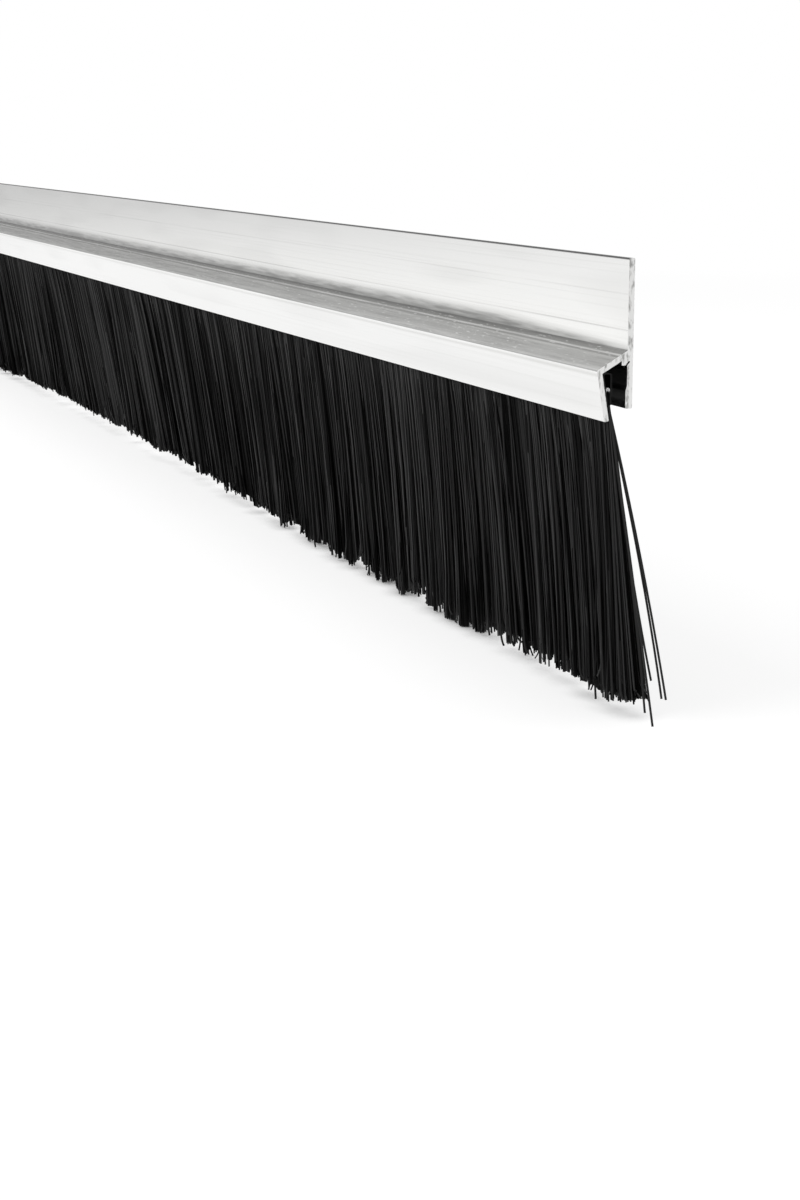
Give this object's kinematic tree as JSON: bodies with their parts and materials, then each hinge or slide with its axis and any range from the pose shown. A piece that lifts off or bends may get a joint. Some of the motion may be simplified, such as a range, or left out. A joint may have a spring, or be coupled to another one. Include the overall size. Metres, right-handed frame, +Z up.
{
  "type": "door bottom brush",
  "caption": "Straight aluminium strip with an upright fixing flange, a sloped shelf and a front lip, holding a black bristle curtain that leans back to seal the gap under a door.",
  "frame": {"origin": "centre of the flange's back face, which lies against the door", "axes": "+X along the strip, +Y out of the back face into the door, +Z up, away from the bristle tips"},
  "size_m": [1, 0.0175, 0.1131],
  "materials": {
    "profile_aluminium": "mill finish, as extruded",
    "channel_steel": "dark, as rolled",
    "wire_steel": "drawn",
    "bristle_nylon": "black, satin filament"
  },
  "bodies": {
    "root": {"carrier_profile": "profile_aluminium", "brush_channel": "channel_steel", "core_wire": "wire_steel", "bristles": "bristle_nylon"}
  },
  "joints": []
}
